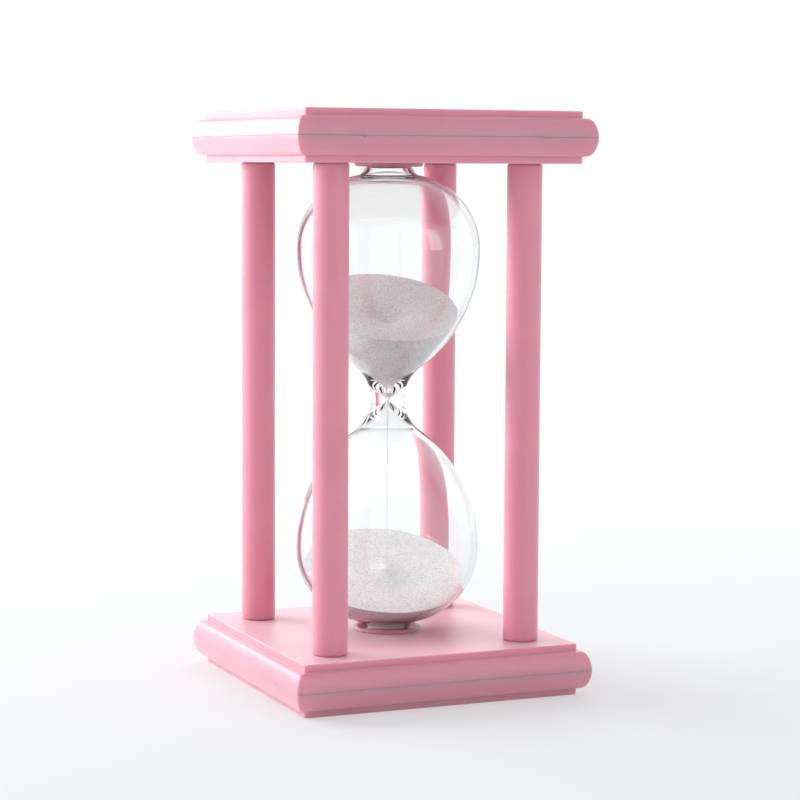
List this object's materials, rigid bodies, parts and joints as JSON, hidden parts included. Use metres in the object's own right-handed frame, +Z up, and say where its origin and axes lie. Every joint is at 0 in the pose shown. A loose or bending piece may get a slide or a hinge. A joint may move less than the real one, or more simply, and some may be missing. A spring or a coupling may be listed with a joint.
{
  "type": "hourglass",
  "caption": "Sand timer: a double glass bulb of white sand held between square bullnose-edged plates joined by round corner pillars.",
  "frame": {"origin": "centre of the underside of the lower plate, on the axis of the glass", "axes": "+Z up along the glass, +X and +Y square to the sides of the plates"},
  "size_m": [0.0868, 0.0868, 0.16],
  "materials": {
    "frame_plastic": "pastel pink, satin-gloss moulded ABS",
    "collar_plastic": "deeper pink, glossy moulded plastic",
    "pad_foam": "matt closed-cell foam",
    "clear_glass": "clear blown glass, fire polished",
    "stopper_rubber": "matt red gum rubber",
    "white_sand": "fine white sand with sparkling grains",
    "screw_steel": "zinc-plated steel"
  },
  "bodies": {
    "frame": {"bottom_cover": "frame_plastic", "bottom_inner_shell": "frame_plastic", "top_inner_shell": "frame_plastic", "top_cover": "frame_plastic", "pillar_front_left": "frame_plastic", "pillar_front_right": "frame_plastic", "pillar_back_left": "frame_plastic", "pillar_back_right": "frame_plastic", "lower_collar": "collar_plastic", "upper_collar": "collar_plastic", "lower_pad": "pad_foam", "upper_pad": "pad_foam", "bottom_pillar_screws": "screw_steel", "top_pillar_screws": "screw_steel", "bottom_screw_washers": "screw_steel", "top_screw_washers": "screw_steel"},
    "glass_timer": {"glass": "clear_glass", "lower_stopper": "stopper_rubber", "upper_stopper": "stopper_rubber", "sand_upper": "white_sand", "sand_lower": "white_sand", "sand_stream": "white_sand"}
  },
  "joints": [
    {"name": "glass_turn", "type": "hinge", "parent": "frame", "child": "glass_timer", "pos_m": [0, 0, 0.0797], "axis": [0, 0, 1], "continuous": true}
  ]
}
